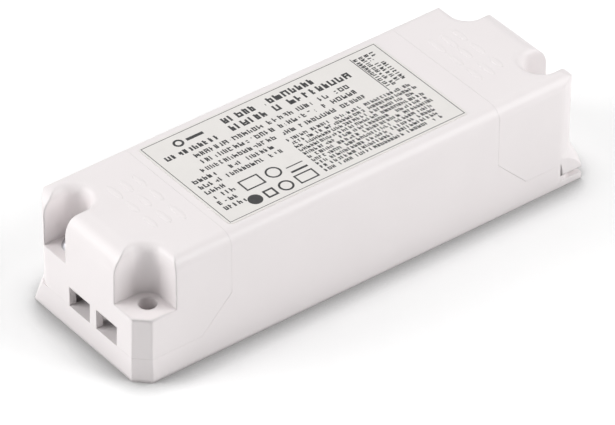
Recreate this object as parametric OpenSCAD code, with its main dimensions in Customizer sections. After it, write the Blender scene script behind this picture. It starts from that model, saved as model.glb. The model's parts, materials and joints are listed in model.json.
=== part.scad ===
/* [Case] */
// Overall length of the case, end to end
case_l = 122; // [110:1:150]
// Overall width of the case
case_w = 40; // [36:1:50]
// Overall height of the case
case_h = 29.8; // [28.4:0.2:38]
// Thickness of the moulded walls
wall = 1.8; // [1.4:0.1:2.2]
// Thickness of the floor plate under the whole case
floor_t = 1.7; // [1.4:0.1:2.2]
// Rounding of the long top edges
edge_r = 3.2; // [2.4:0.2:4]
// Rounding of the top edge at each end
end_r = 5.6; // [4:0.2:7]
// How far each end wall leans in from the rim to the top
end_lean = 0.5; // [0.2:0.1:1]

/* [Seam between housing and end covers] */
// Distance of the upright seam from each end
cover_l = 24.4; // [23:0.2:27]
// Height of the low tray rim at each end
rim_z = 6.4; // [6:0.1:7.5]
// Height where the slanted seam turns upright
step_z = 14.6; // [13:0.2:16]
// Gap left along the seam
seam_gap = 0.1; // [0.05:0.05:0.3]
// Length of the locating tongue under the housing's roof
tongue_l = 3; // [2:0.5:5]
// Width of the locating tongue
tongue_w = 20; // [12:1:24]

/* [Case corners] */
// Leg of the flat chamfer on the mounting corners
chamfer = 3.2; // [2.5:0.1:4]
// Rounding of the other two corners
corner_r = 7.2; // [6:0.2:8]
// Underside of the domed toe on the output corner
toe_z = 3.2; // [2.8:0.1:3.8]
// Height of the domed toe where it meets the cover's wall
toe_h = 4.8; // [4.4:0.1:5.6]
// Rounding of the sloped toe's foot on the input corner
foot_r = 1.8; // [1:0.1:2.4]

/* [Mounting pockets] */
// Length of the open corner pocket along the case
pocket_l = 9.7; // [9.2:0.1:10.4]
// Width of the open corner pocket across the case
pocket_w = 9.5; // [9:0.1:10.2]
// Rounding of the pocket's inner corner
pocket_r = 4; // [3:0.2:5]
// Height of both pocket floors
pocket_z = 17; // [16:0.2:19]
// Rounding of the pocket rims
rim_r = 2.2; // [1.4:0.1:2.6]
// Diameter of the mounting hole
mount_d = 4.2; // [3.6:0.1:4.6]
// Mounting hole centre, from the end of the case
mount_end = 6.1; // [5.8:0.1:6.4]
// Mounting hole centre, from the side of the case
mount_side = 5.4; // [5:0.1:5.8]
// Outer diameter of the mounting boss
mount_boss_d = 9; // [8:0.2:9.4]

/* [Cover screw pockets] */
// Half width of the round-ended screw pocket
slot_r = 4; // [3.6:0.1:4.2]
// Cover screw centre, from the end of the case
slot_end = 5.4; // [5.2:0.1:5.8]
// Cover screw centre, from the side of the case
slot_side = 8.9; // [8.5:0.1:9.3]
// Shank diameter of the cover screw
screw_d = 3; // [2.6:0.1:3.2]
// Head diameter of the cover screw
screw_head_d = 5.6; // [5:0.1:6]
// Head height of the cover screw
screw_head_h = 2.2; // [1.8:0.1:2.6]
// Clearance round a screw shank
screw_gap = 0.1; // [0.05:0.05:0.2]

/* [Cable entries and strain relief] */
// Width of one cable entry
entry_w = 7.4; // [6.6:0.1:7.6]
// Height of a cable entry above the tray rim
entry_h = 5; // [4.6:0.1:6]
// Offset of the two entries from the middle, towards the mounting corner
entry_offset = 2.9; // [2.6:0.1:3]
// Depth of the sill behind the tray rim, under the entries
sill_l = 2.4; // [2:0.1:3]
// Bar left between the two entries
entry_bar = 2.4; // [2:0.1:2.6]
// Distance of the cable clamp from the end of the case
clamp_end = 13.1; // [13:0.1:13.5]
// Room between the outer edge of a cable entry and its clamp screw
clamp_margin = 0.8; // [0.6:0.1:1]
// Width of the clamp bar along the case
clamp_w = 2.8; // [2.4:0.1:3.2]
// Thickness of the clamp bar
clamp_t = 3; // [2.4:0.1:3.6]
// Free height between saddle and clamp bar
clamp_gap = 3; // [2.6:0.1:3.4]
// Diameter of a clamp post
clamp_post_d = 5; // [4.6:0.1:5.2]
// Shank diameter of a clamp screw
clamp_screw_d = 2.2; // [2:0.1:2.4]
// Head diameter of a clamp screw
clamp_head_d = 4; // [3.6:0.1:4.4]
// Head height of a clamp screw
clamp_head_h = 1.6; // [1.4:0.1:2]

/* [Rating label] */
// Length of the label
label_l = 65; // [50:1:70]
// Width of the label
label_w = 33.2; // [26:0.2:33.2]
// Offset of the label towards the input end
label_shift = 2.2; // [0:0.1:2.4]
// Offset of the label towards the long side with the input's mounting corner
label_side = 0.2; // [0:0.1:0.2]
// Rounding of the label's corners
label_r = 1; // [0.5:0.1:2]
// Thickness of the label film
label_t = 0.15; // [0.1:0.05:0.2]

/* [Circuit board] */
// Thickness of the circuit board
board_t = 1.6; // [1.2:0.2:2]
// Height of the board's underside on its rails
board_z = 6; // [5.8:0.1:6.2]
// Clearance between the board and the side walls
board_gap = 0.3; // [0.2:0.1:0.5]
// Width of each board rail
rail_w = 1.6; // [1.2:0.1:2]
// Distance of the board's edge from each end of the case
board_end = 16; // [15.9:0.1:16.4]

/* [Terminal blocks] */
// Pitch of the terminal poles
pole_pitch = 5; // [4.8:0.1:5.2]
// Distance of a terminal block from the edge of the board
terminal_inset = 0.3; // [0.2:0.1:0.6]
// Depth of a terminal block along the case
terminal_l = 7.8; // [7.4:0.1:8]
// Height of a terminal block
terminal_h = 10; // [9:0.2:12]
// Diameter of a terminal screw
terminal_screw_d = 3; // [2.6:0.1:3.4]
// How far a terminal screw lies below the top of its block
terminal_screw_sunk = 1.2; // [0.8:0.1:1.6]
// Side of the square wire cage in a pole
cage_s = 3.8; // [3.4:0.1:4]

/* [Parts on the board] */
// Room left between neighbouring parts
part_gap = 0.8; // [0.5:0.1:1]
// Room left along the edges of the board
board_margin = 0.6; // [0.4:0.1:1]
// Diameter of the fuse
fuse_d = 8; // [7:0.2:8.4]
// Height of the fuse
fuse_h = 7.8; // [7:0.2:9]
// Diameter of the surge varistor
varistor_d = 10; // [8:0.5:12]
// Thickness of the surge varistor
varistor_t = 4; // [3:0.2:5]
// Thickness of the interference capacitor along the case
xcap_l = 7; // [6:0.5:8]
// Width of the interference capacitor across the case
xcap_w = 18; // [14:0.5:20]
// Height of the interference capacitor
xcap_h = 14; // [11:0.5:16]
// Outer diameter of the choke ring
ring_d = 14; // [12.5:0.5:15.5]
// Height of the choke ring
ring_h = 6; // [5:0.5:7]
// Thickness of the wire layer on the choke ring
winding_t = 1.3; // [1:0.1:1.5]
// Diameter of the bulk capacitor
bulk_d = 12.5; // [10:0.5:13]
// Height of the bulk capacitor
bulk_h = 17; // [14:0.5:18]
// Diameter of the small safety capacitor
safety_d = 8; // [6:0.5:9]
// Thickness of the small safety capacitor
safety_t = 3.4; // [3:0.2:4]
// Width of the transformer core across the case
core_w = 19; // [18.5:0.5:20]
// Height of the transformer core
core_h = 17; // [15:0.5:18]
// Thickness of the core's outer legs
leg_t = 4; // [3.6:0.1:4.2]
// Wall of the transformer bobbin
bobbin_t = 1; // [0.8:0.1:1.2]
// Length of the heat sink plate along the case
sink_l = 12.6; // [11:0.2:14]
// Thickness of the heat sink plate
sink_t = 2; // [1.6:0.1:2.4]
// Height of the heat sink plate
sink_h = 16; // [15:0.5:18]
// Width of the power package
package_w = 10; // [9:0.5:10.5]
// Thickness of the power package
package_t = 4.4; // [4:0.1:4.6]
// Height of the power package's moulded body
package_h = 9; // [8:0.5:10]
// Thickness of the power package's metal tab
tab_t = 1.3; // [1:0.1:1.5]
// Height of the power package's metal tab
tab_h = 15; // [14:0.5:16]
// Diameter of the hole in the tab
tab_hole_d = 3.6; // [3:0.1:4]
// Distance of that hole from the top of the tab
tab_hole_top = 2.8; // [2.4:0.1:3.4]
// Diameter of an output capacitor
outcap_d = 8; // [6:0.5:8.5]
// Height of an output capacitor
outcap_h = 14; // [10:0.5:16]
// Diameter of the output choke's flanges
drum_d = 9; // [8:0.5:9.5]
// Height of the output choke
drum_h = 11; // [9:0.5:13]

/* [Hidden] */
$fn = 64;
// Small overlap for clean cuts
eps = 0.05;
// Margin by which a cutting shape passes the faces that it cuts
past = 1;
// Smallest rounding of an inside edge
least_r = 0.2;
half_w = case_w / 2;
// Start of the slanted seam, from the end of the case
slant_end = cover_l - (step_z - rim_z);
// Lean of the end wall as a slope and as an angle
lean = end_lean / (case_h - rim_z);
lean_angle = atan(lean);
// Places across the case of the mounting hole and the cover screw, in the frame of one end
mount_v = mount_side - half_w;
slot_v = half_w - slot_side;
entry_v = -entry_offset;
entry_span = 2 * entry_w + entry_bar;
entry_pitch = entry_w + entry_bar;
clamp_z = rim_z;
saddle_z = clamp_z - clamp_gap;
clamp_span = entry_span + 2 * clamp_margin;
clamp_hole_d = clamp_screw_d + 2 * screw_gap;
screw_hole_d = screw_d + 2 * screw_gap;
// Plastic left over the floor plate under a blind screw hole
blind_t = 0.5;
screw_tip_z = floor_t + blind_t;
board_l = case_l - 2 * board_end;
board_w = case_w - 2 * wall - 2 * board_gap;
board_top = board_z + board_t;
terminal_end = board_end + terminal_inset;
input_poles = 3;
output_poles = 2;
// Clearance between a wound or nested part and its core
fit_gap = 0.1;
choke_r = ring_d / 2 + fit_gap + winding_t;
ring_w = ring_d / 4;
// Bridge rectifier and chips as length, width and height, and the pins on one side of each chip
bridge = [12, 3.4, 10];
chip_size = [5, 4, 1.6];
chip_pins = 4;
coupler_size = [4.6, 4, 2.4];
coupler_pins = 2;
diode_size = [6, 2.6, 2.6];
diode_pins = 1;
// Reach of a chip's pins beyond its body
pin_reach = 1;
// Middle leg of the transformer core, its window and the room left in it for the winding
mid_leg = 1.5 * leg_t;
window_w = (core_w - 2 * leg_t - mid_leg) / 2;
window_h = core_h - 2 * leg_t;
flange_t = 0.9;
winding_room = window_w - bobbin_t - 3 * fit_gap;
bobbin_l = 2 * leg_t + 2 * (fit_gap + bobbin_t + winding_room);
// Columns of parts, chained inwards from the terminal block at each end
block_x = case_l / 2 - terminal_end - terminal_l;
fuse_x = -block_x + part_gap + fuse_d / 2;
xcap_x = fuse_x + fuse_d / 2 + part_gap + xcap_l / 2;
choke_x = xcap_x + xcap_l / 2 + part_gap + choke_r;
outcap_x = block_x - part_gap - max(outcap_d, drum_d) / 2;
trans_x = outcap_x - max(outcap_d, drum_d) / 2 - part_gap - max(bobbin_l, sink_l, bridge[0]) / 2;
// Rows of parts, chained inwards from the edges of the board
edge_y = board_w / 2 - board_margin;
choke_y = choke_r - edge_y;
outcap_1_y = outcap_d / 2 - edge_y;
outcap_2_y = outcap_1_y + outcap_d + part_gap;
package_y = edge_y - sink_t;
trans_y = package_y - package_t - part_gap - core_w / 2;
drum_y = outcap_2_y + outcap_d / 2 + part_gap + drum_d / 2;
drum_flange = 1.6;
drum_core_d = drum_d / 2;
safety_y = drum_y + drum_d / 2 + part_gap + safety_t / 2;
plastic = [0.94, 0.93, 0.92];
steel = [0.75, 0.76, 0.78];
copper = [0.72, 0.42, 0.2];
black = [0.12, 0.12, 0.13];

// Places its children at one end of the case: side -1 is the input end, side 1 the output end.
// In that frame x runs inwards from the end and the mounting corner lies towards -y.
module at_end(side) {
    rotate([0, 0, side > 0 ? 180 : 0])
        translate([-case_l / 2, 0, 0])
            children();
}

// Stands a profile of (across, up) on end and runs it along the case
module along_case(length) {
    rotate([90, 0, 90])
        linear_extrude(length)
            children();
}

// Stands a profile of (along, up) on edge and runs it right across the case
module across_case() {
    translate([0, half_w + past, 0])
        rotate([90, 0, 0])
            linear_extrude(case_w + 2 * past)
                children();
}

// Cross-section of the case with its rounded top edges, inset from the outside
module case_section(inset) {
    w = half_w - inset;
    h = case_h - inset;
    r = max(edge_r - inset, least_r);
    translate([-w, 0])
        square([2 * w, h - r]);
    translate([r - w, 0])
        square([2 * (w - r), h]);
    for (side = [-1, 1])
        translate([side * (w - r), h - r])
            circle(r);
}

// Plan of one end of the case with its chamfered and its rounded corner, inset from the outside
module end_plan(inset, length) {
    leg = chamfer + inset * sqrt(2);
    w = half_w - inset;
    r = corner_r - inset;
    difference() {
        translate([inset, -w])
            square([length - inset, 2 * w]);
        polygon([[-past, -half_w - past], [leg + past, -half_w - past], [-past, leg + past - half_w]]);
        difference() {
            translate([inset - past, w - r])
                square([r + past, r + past]);
            translate([inset + r, w - r])
                circle(r);
        }
    }
}

// Upper outline of an end cover seen from the side: leaning end wall, rounded into the roof
module cover_profile(inset, low_edge) {
    h = case_h - inset;
    r = end_r - inset;
    // Centre of the rounding, tangent to the roof and to the leaning wall
    centre_u = (r + inset) / cos(lean_angle) + lean * (h - r - rim_z);
    centre_z = h - r;
    touch = [centre_u - r * cos(lean_angle), centre_z + r * sin(lean_angle)];
    foot_u = inset / cos(lean_angle) + lean * (low_edge[0][1] - rim_z);
    polygon(concat([[foot_u, low_edge[0][1]], touch, [centre_u, centre_z], [centre_u, h]],
        [[low_edge[2][0], h], low_edge[2], low_edge[1], low_edge[0]]));
    translate([centre_u, centre_z])
        circle(r);
}

// Lower edge of a cover along the seam, as points (along, up) from the end to the upright seam
function seam_edge() = [
    [slant_end - seam_gap * (sqrt(2) - 1), rim_z + seam_gap],
    [slant_end - seam_gap * (sqrt(2) - 1), rim_z + seam_gap],
    [cover_l - seam_gap, step_z + seam_gap * (sqrt(2) - 1)]];

// Lower edge of a cover's hollow, open below and towards the housing
function open_edge() = [[cover_l + past, 0], [cover_l + past, 0], [cover_l + past, 0]];

// Solid form of an end cover, inset from the outside
module cover_form(inset, low_edge) {
    intersection() {
        along_case(cover_l + 2 * past)
            case_section(inset);
        across_case()
            cover_profile(inset, low_edge);
        linear_extrude(case_h)
            end_plan(inset, cover_l + 2 * past);
    }
}

// Plan of the open corner pocket, grown outwards
module pocket_plan(grow) {
    l = pocket_l + grow;
    w = pocket_w + grow;
    r = pocket_r + grow;
    translate([-past, -half_w - past]) {
        square([l - r + past, w + past]);
        square([l + past, w - r + past]);
    }
    translate([l - r, w - r - half_w])
        circle(r);
}

// Plan of the round-ended screw pocket, grown outwards
module slot_plan(grow) {
    r = slot_r + grow;
    translate([slot_end, slot_v])
        circle(r);
    translate([-past, slot_v - r])
        square([slot_end + past, 2 * r]);
}

// What a rounded rim takes off beside a wall that stands at the given distance
module rim_profile(distance) {
    translate([distance, case_h - rim_r])
        difference() {
            square([rim_r, rim_r + past]);
            translate([rim_r, 0])
                circle(rim_r);
        }
}

// Rounded rims of the two pockets
module pocket_rims() {
    bend = [pocket_l - pocket_r, pocket_w - pocket_r - half_w, 0];
    translate(bend)
        rotate_extrude(angle = 90)
            rim_profile(pocket_r);
    translate([-past, bend[1], 0])
        along_case(bend[0] + past)
            rim_profile(pocket_r);
    translate([bend[0], bend[1], 0])
        rotate([90, 0, 0])
            linear_extrude(pocket_w)
                rim_profile(pocket_r);
    translate([slot_end, slot_v, 0])
        rotate([0, 0, -90])
            rotate_extrude(angle = 180)
                rim_profile(slot_r);
    translate([-past, slot_v, 0])
        for (side = [0, 1])
            mirror([0, side, 0])
                along_case(slot_end + past)
                    rim_profile(slot_r);
}

// Walls, floors and bosses of the two pockets, before the pockets are cut
module pocket_jackets() {
    translate([0, 0, pocket_z - wall])
        linear_extrude(case_h) {
            pocket_plan(wall);
            slot_plan(wall);
        }
    translate([mount_end, mount_v, rim_z])
        cylinder(d = mount_boss_d, h = case_h);
    translate([slot_end, slot_v, rim_z])
        cylinder(r = slot_r, h = case_h);
}

// Openings for the cables, from the tray rim upwards
module cable_entries() {
    for (side = [-1, 1])
        translate([-past, entry_v + side * entry_pitch / 2 - entry_w / 2, rim_z - past])
            cube([past + wall + end_lean, entry_w, entry_h + past]);
}

// Tongue that slides under the roof of the housing
module locating_tongue() {
    tongue_t = wall;
    root_l = 2 * tongue_l;
    // Lap of the tongue's root into the cover's own roof
    lap = 2 * wall / 3;
    translate([cover_l - root_l, -tongue_w / 2, case_h - wall - seam_gap - tongue_t])
        cube([root_l + tongue_l, tongue_w, tongue_t]);
    translate([cover_l - root_l, -tongue_w / 2, case_h - wall - seam_gap - eps])
        cube([root_l - seam_gap, tongue_w, lap]);
}

// Domed toe that squares off the rounded corner below the cover's wall
module corner_toe() {
    centre = [corner_r, half_w - corner_r];
    // Height and radius of the sphere through the toe's tip and through its top on the wall
    dome_z = toe_z + toe_h / 2 - corner_r * corner_r / (2 * toe_h);
    dome_r = norm([corner_r, corner_r, toe_z - dome_z]);
    difference() {
        intersection() {
            translate([0, centre[1], toe_z])
                cube([corner_r, corner_r, case_h]);
            translate([centre[0], centre[1], dome_z])
                sphere(dome_r);
        }
        // Room for the tray's own rounded corner below the seam
        translate([centre[0], centre[1], 0])
            cylinder(r = corner_r + seam_gap, h = rim_z + seam_gap);
        translate([centre[0], centre[1], 0])
            cylinder(r = corner_r - wall / 2, h = case_h);
    }
}

// Moulded end cover over the terminals, in the frame of its end
module end_cover() {
    difference() {
        union() {
            difference() {
                cover_form(0, seam_edge());
                difference() {
                    cover_form(wall, open_edge());
                    pocket_jackets();
                }
            }
            intersection() {
                translate([mount_end, mount_v, rim_z])
                    cylinder(d = mount_boss_d, h = pocket_z - rim_z);
                linear_extrude(case_h)
                    end_plan(0, cover_l);
            }
            translate([slot_end, slot_v, rim_z])
                cylinder(r = slot_r, h = pocket_z - rim_z);
            locating_tongue();
        }
        translate([0, 0, pocket_z])
            linear_extrude(case_h) {
                pocket_plan(0);
                slot_plan(0);
            }
        pocket_rims();
        translate([mount_end, mount_v, 0])
            cylinder(d = mount_d, h = case_h);
        translate([slot_end, slot_v, 0])
            cylinder(d = screw_hole_d, h = case_h);
        cable_entries();
    }
}

// Outline of the housing from the side: a sleeve with a low tray running out to each end
module housing_profile() {
    half_l = case_l / 2;
    right = [[half_l, 0], [half_l, rim_z], [half_l - slant_end, rim_z], [half_l - cover_l, step_z],
        [half_l - cover_l, case_h]];
    left = [for (i = [len(right) - 1 : -1 : 0]) [-right[i][0], right[i][1]]];
    polygon(concat(right, left));
}

// Bosses, clamp posts, cable saddle and sill that stand on the tray floor, in the frame of one end
module tray_posts() {
    translate([mount_end, mount_v, 0])
        cylinder(d = mount_boss_d, h = rim_z);
    translate([slot_end, slot_v, 0])
        cylinder(r = slot_r, h = rim_z);
    for (side = [-1, 1])
        translate([clamp_end, entry_v + side * clamp_span / 2, 0])
            cylinder(d = clamp_post_d, h = clamp_z);
    translate([clamp_end - clamp_w / 2, entry_v - clamp_span / 2, 0])
        cube([clamp_w, clamp_span, saddle_z]);
    translate([wall - eps, entry_v - entry_span / 2, 0])
        cube([sill_l + eps, entry_span, rim_z]);
}

// Holes in the bosses and posts, in the frame of one end
module tray_holes() {
    translate([mount_end, mount_v, -past])
        cylinder(d = mount_d, h = rim_z + 2 * past);
    translate([slot_end, slot_v, screw_tip_z])
        cylinder(d = screw_hole_d, h = rim_z);
    for (side = [-1, 1])
        translate([clamp_end, entry_v + side * clamp_span / 2, screw_tip_z])
            cylinder(d = clamp_hole_d, h = clamp_z);
}

// Square corner of the floor plate under the domed toe of the output end
module floor_corner() {
    translate([0, half_w - corner_r, 0])
        cube([corner_r, corner_r, floor_t]);
}

// Sloped toe that fills the rounded corner of the tray at the input end
module sloped_toe() {
    diagonal = sqrt(2) - 1;
    run = corner_r * diagonal;
    intersection() {
        translate([0, half_w - corner_r, 0])
            linear_extrude(rim_z) {
                translate([foot_r, 0])
                    square([corner_r - foot_r, corner_r]);
                square([corner_r, corner_r - foot_r]);
                translate([foot_r, corner_r - foot_r])
                    circle(foot_r);
            }
        translate([0, half_w, 0])
            rotate([0, 0, -45])
                rotate([90, 0, 0])
                    linear_extrude(4 * corner_r, center = true)
                        polygon([[foot_r * diagonal, 0], [run, rim_z], [2 * corner_r, rim_z], [2 * corner_r, 0]]);
    }
}

// One-piece sleeve and tray that carries the circuit board
module main_housing() {
    inner_l = case_l - 2 * wall;
    color(plastic)
        difference() {
            union() {
                difference() {
                    intersection() {
                        translate([-case_l / 2, 0, 0])
                            along_case(case_l)
                                case_section(0);
                        across_case()
                            housing_profile();
                        for (side = [-1, 1])
                            at_end(side)
                                linear_extrude(case_h)
                                    end_plan(0, case_l / 2 + eps);
                    }
                    intersection() {
                        translate([-inner_l / 2, 0, 0])
                            along_case(inner_l)
                                case_section(wall);
                        for (side = [-1, 1])
                            at_end(side)
                                translate([0, 0, floor_t])
                                    linear_extrude(case_h)
                                        end_plan(wall, case_l / 2 + eps);
                    }
                }
                for (side = [-1, 1])
                    translate([-board_l / 2, side * (half_w - wall - rail_w / 2) - rail_w / 2, floor_t - eps])
                        cube([board_l, rail_w, board_z - floor_t + eps]);
                for (side = [-1, 1])
                    at_end(side)
                        tray_posts();
                at_end(-1)
                    sloped_toe();
                at_end(1)
                    floor_corner();
            }
            for (side = [-1, 1])
                at_end(side)
                    tray_holes();
        }
}

module input_cover() {
    color(plastic)
        at_end(-1)
            end_cover();
}

module output_cover() {
    color(plastic)
        at_end(1) {
            end_cover();
            corner_toe();
        }
}

// Pan-head screw with a cross recess, standing on the given seat height
module pan_screw(shank_d, head_d, head_h, seat, tip) {
    dome_r = (head_d * head_d / 4 + head_h * head_h) / (2 * head_h);
    recess = [0.6 * head_d, 0.14 * head_d, head_h];
    difference() {
        union() {
            translate([0, 0, tip])
                cylinder(d = shank_d, h = seat - tip + eps);
            translate([0, 0, seat])
                intersection() {
                    cylinder(d = head_d, h = head_h);
                    translate([0, 0, head_h - dome_r])
                        sphere(dome_r);
                }
        }
        for (turn = [0, 90])
            translate([0, 0, seat + head_h])
                rotate([0, 0, turn])
                    cube(recess, center = true);
    }
}

module cover_screws() {
    color(steel)
        for (side = [-1, 1])
            at_end(side)
                translate([slot_end, slot_v, 0])
                    pan_screw(screw_d, screw_head_d, screw_head_h, pocket_z, screw_tip_z + eps);
}

module rating_label() {
    color([0.9, 0.89, 0.87])
        translate([-label_shift, -label_side, case_h])
            linear_extrude(label_t) {
                for (flip = [0, 1])
                    square([label_l - 2 * flip * label_r, label_w - 2 * (1 - flip) * label_r], center = true);
                for (x = [-1, 1], y = [-1, 1])
                    translate([x * (label_l / 2 - label_r), y * (label_w / 2 - label_r)])
                        circle(label_r);
            }
}

module circuit_board() {
    color([0.16, 0.38, 0.2])
        translate([-board_l / 2, -board_w / 2, board_z])
            cube([board_l, board_w, board_t]);
}

// Places its children at each pole of a terminal block, in the frame of its end
module at_poles(poles) {
    for (i = [0 : poles - 1])
        translate([terminal_end, entry_v + (i - (poles - 1) / 2) * pole_pitch, board_top])
            children();
}

// Terminal block with a wire mouth, a cage chamber and a screw shaft in each pole
module terminal_block(poles) {
    w = poles * pole_pitch + wall;
    slant = 2.5;
    difference() {
        translate([terminal_end, entry_v - w / 2, board_top])
            cube([terminal_l, w, terminal_h]);
        at_poles(poles) {
            translate([-past, -cage_s / 2 - screw_gap, wall])
                cube([terminal_l - wall + past, cage_s + 2 * screw_gap, cage_s + 2 * screw_gap]);
            translate([terminal_l / 2, 0, wall])
                cylinder(d = terminal_screw_d + 2 * screw_gap, h = terminal_h);
        }
        // Slanted front edge above the wire mouths
        translate([terminal_end, 0, board_top + terminal_h])
            rotate([0, 45, 0])
                cube([slant, 2 * case_w, slant], center = true);
    }
}

module input_terminal() {
    color([0.35, 0.5, 0.38])
        at_end(-1)
            terminal_block(input_poles);
}

module output_terminal() {
    color([0.35, 0.5, 0.38])
        at_end(1)
            terminal_block(output_poles);
}

// Wire cage on the floor of one pole's chamber, with a threaded roof under the screw
module wire_cage() {
    cage_l = terminal_l / 2;
    cage_t = 0.7;
    translate([(terminal_l - cage_l) / 2, 0, wall])
        difference() {
            translate([0, -cage_s / 2, 0])
                cube([cage_l, cage_s, cage_s]);
            translate([-past, cage_t - cage_s / 2, cage_t])
                cube([cage_l + 2 * past, cage_s - 2 * cage_t, cage_s - 2 * cage_t]);
        }
}

module terminal_cages() {
    color(steel) {
        at_end(-1)
            at_poles(input_poles)
                wire_cage();
        at_end(1)
            at_poles(output_poles)
                wire_cage();
    }
}

// Slotted grub screw that stands on the roof of its cage
module grub_screw() {
    h = terminal_h - terminal_screw_sunk - wall - cage_s;
    slot = [2 * terminal_screw_d, terminal_screw_d / 5, h / 2];
    translate([terminal_l / 2, 0, wall + cage_s])
        difference() {
            cylinder(d = terminal_screw_d, h = h);
            translate([0, 0, h])
                cube(slot, center = true);
        }
}

module terminal_screws() {
    color(steel) {
        at_end(-1)
            at_poles(input_poles)
                grub_screw();
        at_end(1)
            at_poles(output_poles)
                grub_screw();
    }
}

// Bar that presses the cables onto the saddle, with a rib under each cable
module cable_clamp() {
    rib_r = 0.8;
    difference() {
        union() {
            translate([clamp_end - clamp_w / 2, entry_v - clamp_span / 2, clamp_z])
                cube([clamp_w, clamp_span, clamp_t]);
            for (side = [-1, 1])
                translate([clamp_end, entry_v + side * clamp_span / 2, clamp_z])
                    cylinder(d = clamp_post_d, h = clamp_t);
            translate([clamp_end, entry_v, clamp_z])
                rotate([90, 0, 0])
                    cylinder(r = rib_r, h = entry_span - clamp_post_d, center = true);
        }
        for (side = [-1, 1])
            translate([clamp_end, entry_v + side * clamp_span / 2, 0])
                cylinder(d = clamp_hole_d, h = case_h);
    }
}

module input_cable_clamp() {
    color(plastic)
        at_end(-1)
            cable_clamp();
}

module output_cable_clamp() {
    color(plastic)
        at_end(1)
            cable_clamp();
}

module clamp_screws() {
    color(steel)
        for (end = [-1, 1], side = [-1, 1])
            at_end(end)
                translate([clamp_end, entry_v + side * clamp_span / 2, 0])
                    pan_screw(clamp_screw_d, clamp_head_d, clamp_head_h, clamp_z + clamp_t, screw_tip_z + eps);
}

// Places its children on the circuit board
module on_board(x, y) {
    translate([x, y, board_top])
        children();
}

// Places its children upside down on the soldered side of the board
module under_board(x, y) {
    translate([x, y, board_z])
        mirror([0, 0, 1])
            children();
}

// Round-edged disc part that stands on its rim, with a straight foot over its leads
module disc_part(d, t) {
    translate([0, 0, d / 2])
        rotate([90, 0, 0])
            rotate_extrude() {
                translate([0, -t / 2])
                    square([(d - t) / 2, t]);
                intersection() {
                    translate([(d - t) / 2, 0])
                        circle(t / 2);
                    translate([0, -t])
                        square([d, 2 * t]);
                }
            }
    translate([-d / 4, -t / 2, 0])
        cube([d / 2, t, d / 4]);
}

// Can of an electrolytic capacitor with its crimped bead and rounded top
module can(d, h) {
    bead_z = d / 4;
    bead_r = d / 20;
    vent = [0.6 * d, d / 30, d / 20];
    difference() {
        union() {
            cylinder(d = d, h = h - bead_r);
            cylinder(d = d - 2 * bead_r, h = h);
            translate([0, 0, h - bead_r])
                rotate_extrude()
                    translate([d / 2 - bead_r, 0])
                        circle(bead_r);
        }
        translate([0, 0, bead_z])
            rotate_extrude()
                translate([d / 2, 0])
                    circle(bead_r);
        for (turn = [0, 90])
            translate([0, 0, h])
                rotate([0, 0, turn])
                    cube(vent, center = true);
    }
}

// Round fuse in a moulded pot with a sunk lid
module fuse() {
    rim = 0.8;
    sunk = 0.6;
    color([0.3, 0.2, 0.14])
        on_board(fuse_x, board_w / 4)
            difference() {
                cylinder(d = fuse_d, h = fuse_h);
                translate([0, 0, fuse_h - sunk])
                    cylinder(d = fuse_d - 2 * rim, h = sunk + past);
            }
}

module varistor() {
    color([0.15, 0.3, 0.6])
        on_board(fuse_x, -board_w / 4)
            rotate([0, 0, 90])
                disc_part(varistor_d, varistor_t);
}

module interference_capacitor() {
    bevel = 1;
    color([0.85, 0.75, 0.2])
        on_board(xcap_x, 0)
            difference() {
                translate([-xcap_l / 2, -xcap_w / 2, 0])
                    cube([xcap_l, xcap_w, xcap_h]);
                for (side = [-1, 1])
                    translate([side * xcap_l / 2, 0, xcap_h])
                        rotate([0, 45, 0])
                            cube([bevel, 2 * xcap_w, bevel], center = true);
            }
}

module choke_core() {
    color(black)
        on_board(choke_x, choke_y)
            translate([0, 0, winding_t + fit_gap])
                difference() {
                    cylinder(d = ring_d, h = ring_h);
                    translate([0, 0, -past])
                        cylinder(d = ring_d - 2 * ring_w, h = ring_h + 2 * past);
                }
}

// Wire wound round one side of the choke ring
module choke_winding(turn) {
    sweep = 130;
    inside = [ring_w + 2 * fit_gap, ring_h + 2 * fit_gap];
    outside = [inside[0] + 2 * winding_t, inside[1] + 2 * winding_t];
    color(copper)
        on_board(choke_x, choke_y)
            rotate([0, 0, turn - sweep / 2])
                rotate_extrude(angle = sweep)
                    translate([(ring_d - ring_w) / 2, outside[1] / 2])
                        difference() {
                            square(outside, center = true);
                            square(inside, center = true);
                        }
}

module choke_winding_line() {
    choke_winding(0);
}

module choke_winding_neutral() {
    choke_winding(180);
}

module bridge_rectifier() {
    cut = 2.4;
    color(black)
        on_board(trans_x, bridge[1] / 2 - edge_y)
            difference() {
                translate([-bridge[0] / 2, -bridge[1] / 2, 0])
                    cube(bridge);
                // Cut corner that marks the plus lead
                translate([bridge[0] / 2, 0, bridge[2]])
                    rotate([0, 45, 0])
                        cube([cut, 2 * bridge[1], cut], center = true);
            }
}

module bulk_capacitor() {
    color([0.15, 0.17, 0.22])
        on_board(choke_x, edge_y - bulk_d / 2)
            can(bulk_d, bulk_h);
}

module heat_sink() {
    color(steel)
        on_board(trans_x - sink_l / 2, package_y)
            cube([sink_l, sink_t, sink_h]);
}

// Flat power package with its tab against the heat sink
module switching_transistor() {
    color(black)
        on_board(trans_x, package_y)
            difference() {
                union() {
                    translate([-package_w / 2, -package_t, 0])
                        cube([package_w, package_t, package_h]);
                    translate([-package_w / 2, -tab_t, 0])
                        cube([package_w, tab_t, tab_h]);
                }
                translate([0, past, tab_h - tab_hole_top])
                    rotate([90, 0, 0])
                        cylinder(d = tab_hole_d, h = tab_t + 2 * past);
            }
}

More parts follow.
